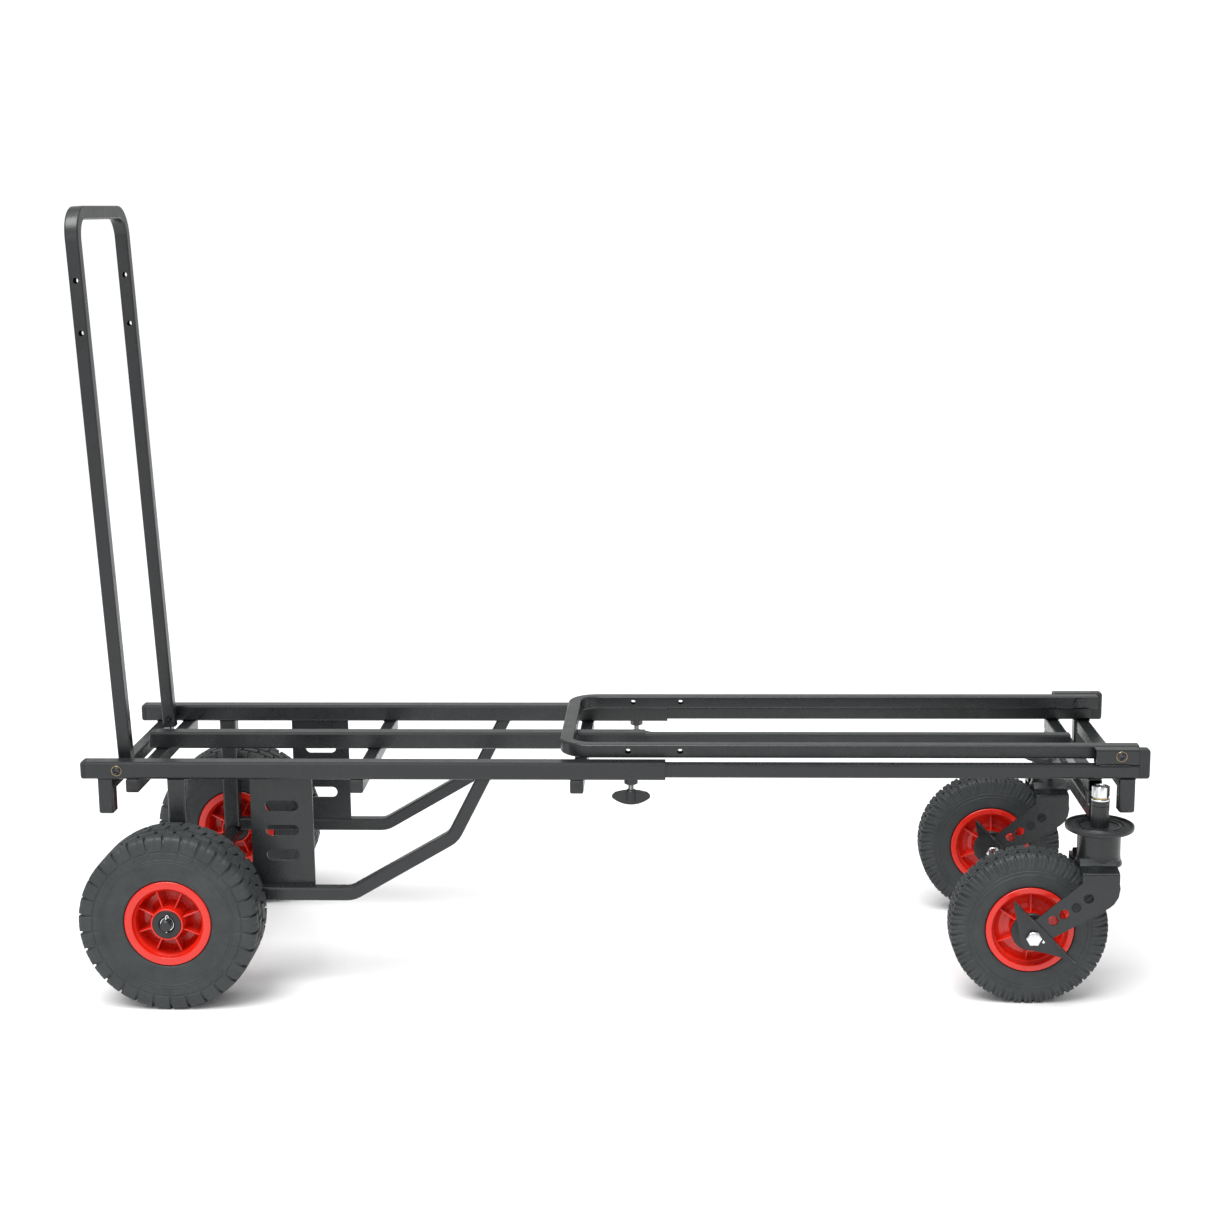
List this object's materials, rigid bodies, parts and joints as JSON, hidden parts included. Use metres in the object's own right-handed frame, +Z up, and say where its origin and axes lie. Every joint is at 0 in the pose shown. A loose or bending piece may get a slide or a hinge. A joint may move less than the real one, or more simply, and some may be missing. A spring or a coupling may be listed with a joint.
{
  "type": "convertible hand truck",
  "caption": "Folding platform hand truck with a telescoping square-tube bed, fold-down handles at both ends, fixed rear wheels and swivel front casters with brakes.",
  "frame": {"origin": "bottom centre of the bounding box at rest, on the floor", "axes": "+X towards the caster end, +Y to the left, +Z up"},
  "size_m": [1.494, 0.545, 1.108],
  "materials": {
    "frame_paint": "satin dark charcoal powder coat",
    "black_plastic": "moulded black plastic",
    "hardware": "bright zinc-plated steel",
    "tyre": "dark grey rubber",
    "rim": "bright red moulded rim"
  },
  "bodies": {
    "rear_frame": {"outer_rail_right": "frame_paint", "outer_rail_left": "frame_paint", "outer_rail_middle": "frame_paint", "rail_end_cap_right": "black_plastic", "rail_end_cap_left": "black_plastic", "rail_end_cap_middle": "black_plastic", "end_crossbar": "frame_paint", "crossbar_rear": "frame_paint", "crossbar_middle": "frame_paint", "crossbar_front": "frame_paint", "rear_foot_right": "frame_paint", "rear_foot_left": "frame_paint", "axle_post_right": "frame_paint", "axle_post_left": "frame_paint", "side_plate_right": "frame_paint", "side_plate_left": "frame_paint", "axle_brace_right": "frame_paint", "axle_brace_left": "frame_paint", "axle_tube": "frame_paint", "axle": "hardware", "cotter_pin_right": "hardware", "cotter_pin_left": "hardware", "rear_pivot_bolt_right": "hardware", "rear_pivot_bolt_left": "hardware"},
    "rear_handle": {"rear_handle": "frame_paint"},
    "front_frame": {"inner_rail_right": "frame_paint", "inner_rail_left": "frame_paint", "inner_rail_middle": "frame_paint", "inner_end_cap_right": "black_plastic", "inner_end_cap_left": "black_plastic", "pivot_block_right": "frame_paint", "pivot_block_left": "frame_paint", "front_foot_right": "frame_paint", "front_foot_left": "frame_paint", "front_crossbar": "frame_paint", "front_tie_bar": "frame_paint", "caster_beam": "frame_paint", "front_pivot_bolt_right": "hardware", "front_pivot_bolt_left": "hardware"},
    "front_handle": {"front_handle": "frame_paint"},
    "clamp_right": {"clamp_screw_right": "hardware"},
    "rear_wheel_right": {"rear_tyre_right": "tyre", "rear_rim_right": "rim"},
    "caster_swivel_right": {"caster_fork_right": "frame_paint", "swivel_disc_right": "black_plastic", "kingpin_right": "hardware", "caster_bolt_right": "hardware"},
    "caster_wheel_right": {"caster_tyre_right": "tyre", "caster_rim_right": "rim"},
    "caster_brake_right": {"brake_pedal_right": "frame_paint"},
    "clamp_left": {"clamp_screw_left": "hardware"},
    "rear_wheel_left": {"rear_tyre_left": "tyre", "rear_rim_left": "rim"},
    "caster_swivel_left": {"caster_fork_left": "frame_paint", "swivel_disc_left": "black_plastic", "kingpin_left": "hardware", "caster_bolt_left": "hardware"},
    "caster_wheel_left": {"caster_tyre_left": "tyre", "caster_rim_left": "rim"},
    "caster_brake_left": {"brake_pedal_left": "frame_paint"}
  },
  "joints": [
    {"name": "rear_handle_fold", "type": "hinge", "parent": "rear_frame", "child": "rear_handle", "pos_m": [-0.6945, 0, 0.3235], "axis": [0, 1, 0], "range_deg": [0, 88.5]},
    {"name": "frame_slide", "type": "slide", "parent": "rear_frame", "child": "front_frame", "axis": [1, 0, 0], "range_m": [-0.559, 0]},
    {"name": "front_handle_fold", "type": "hinge", "parent": "front_frame", "child": "front_handle", "pos_m": [0.7075, 0, 0.346], "axis": [0, 1, 0], "range_deg": [0, 92.7]},
    {"name": "clamp_turn_right", "type": "hinge", "parent": "rear_frame", "child": "clamp_right", "pos_m": [0.0317, -0.1675, 0.311], "axis": [0, 0, 1], "range_deg": [-360, 0]},
    {"name": "rear_wheel_spin_right", "type": "hinge", "parent": "rear_frame", "child": "rear_wheel_right", "pos_m": [-0.6115, -0.2235, 0.126], "axis": [0, 1, 0], "continuous": true},
    {"name": "caster_turn_right", "type": "hinge", "parent": "front_frame", "child": "caster_swivel_right", "pos_m": [0.678, -0.189, 0.246], "axis": [0, 0, 1], "continuous": true},
    {"name": "caster_wheel_spin_right", "type": "hinge", "parent": "caster_swivel_right", "child": "caster_wheel_right", "pos_m": [0.583, -0.189, 0.1084], "axis": [0, 1, 0], "continuous": true},
    {"name": "brake_press_right", "type": "hinge", "parent": "caster_swivel_right", "child": "caster_brake_right", "pos_m": [0.583, -0.189, 0.1084], "axis": [0, 1, 0], "range_deg": [0, 18]},
    {"name": "clamp_turn_left", "type": "hinge", "parent": "rear_frame", "child": "clamp_left", "pos_m": [0.0317, 0.1675, 0.311], "axis": [0, 0, 1], "range_deg": [-360, 0]},
    {"name": "rear_wheel_spin_left", "type": "hinge", "parent": "rear_frame", "child": "rear_wheel_left", "pos_m": [-0.6115, 0.2235, 0.126], "axis": [0, 1, 0], "continuous": true},
    {"name": "caster_turn_left", "type": "hinge", "parent": "front_frame", "child": "caster_swivel_left", "pos_m": [0.678, 0.189, 0.246], "axis": [0, 0, 1], "continuous": true},
    {"name": "caster_wheel_spin_left", "type": "hinge", "parent": "caster_swivel_left", "child": "caster_wheel_left", "pos_m": [0.583, 0.189, 0.1084], "axis": [0, 1, 0], "continuous": true},
    {"name": "brake_press_left", "type": "hinge", "parent": "caster_swivel_left", "child": "caster_brake_left", "pos_m": [0.583, 0.189, 0.1084], "axis": [0, 1, 0], "range_deg": [0, 18]}
  ]
}
